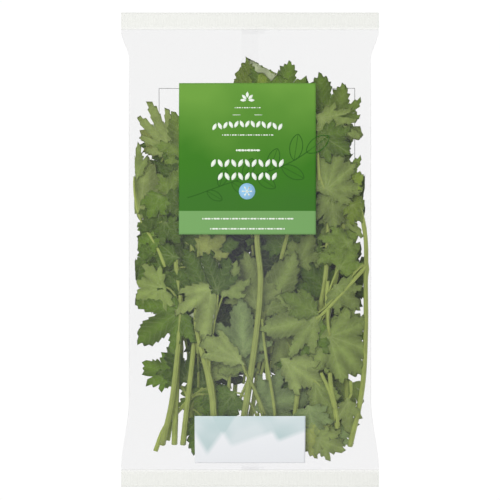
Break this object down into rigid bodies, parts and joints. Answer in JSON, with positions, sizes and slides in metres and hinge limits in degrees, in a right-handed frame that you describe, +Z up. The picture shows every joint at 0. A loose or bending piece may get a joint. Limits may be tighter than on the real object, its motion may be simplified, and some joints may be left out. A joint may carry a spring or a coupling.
{
  "type": "packet of flat-leaf parsley",
  "caption": "Clear film packet of cut flat-leaf parsley sprigs, lying on its back, with a green front label, a white panel and crimped end seals.",
  "frame": {"origin": "middle of the packet's outline, at the height of the surface it lies on", "axes": "+X across the packet, +Y along it towards the end that the leaf tips point to, +Z up out of the labelled face"},
  "size_m": [0.15, 0.276, 0.0272],
  "materials": {
    "film": "clear glossy polypropylene film",
    "label": "printed green, satin, with a lighter band along its lower edge",
    "panel": "printed white, satin, for writing on",
    "leaf": "soft matt green leaf, paler stems"
  },
  "bodies": {
    "root": {"film_packet": "film", "front_label": "label", "date_panel": "panel", "sprig_long": "leaf", "sprig_left": "leaf", "sprig_fork": "leaf", "sprig_right_edge": "leaf", "sprig_mid_leaf": "leaf", "sprig_pendant": "leaf", "sprig_left_mid": "leaf", "sprig_short": "leaf", "sprig_left_tall": "leaf", "sprig_right_low": "leaf", "sprig_right_top": "leaf", "sprig_mid": "leaf", "sprig_top_right": "leaf", "sprig_left_low": "leaf", "sprig_mid_low": "leaf", "sprig_mid_right": "leaf", "sprig_low_right": "leaf", "sprig_low_mid": "leaf", "sprig_back_left": "leaf", "sprig_back_edge": "leaf", "sprig_back_mid": "leaf", "sprig_back_under": "leaf", "sprig_back_tall": "leaf", "sprig_back_right": "leaf"}
  },
  "joints": []
}
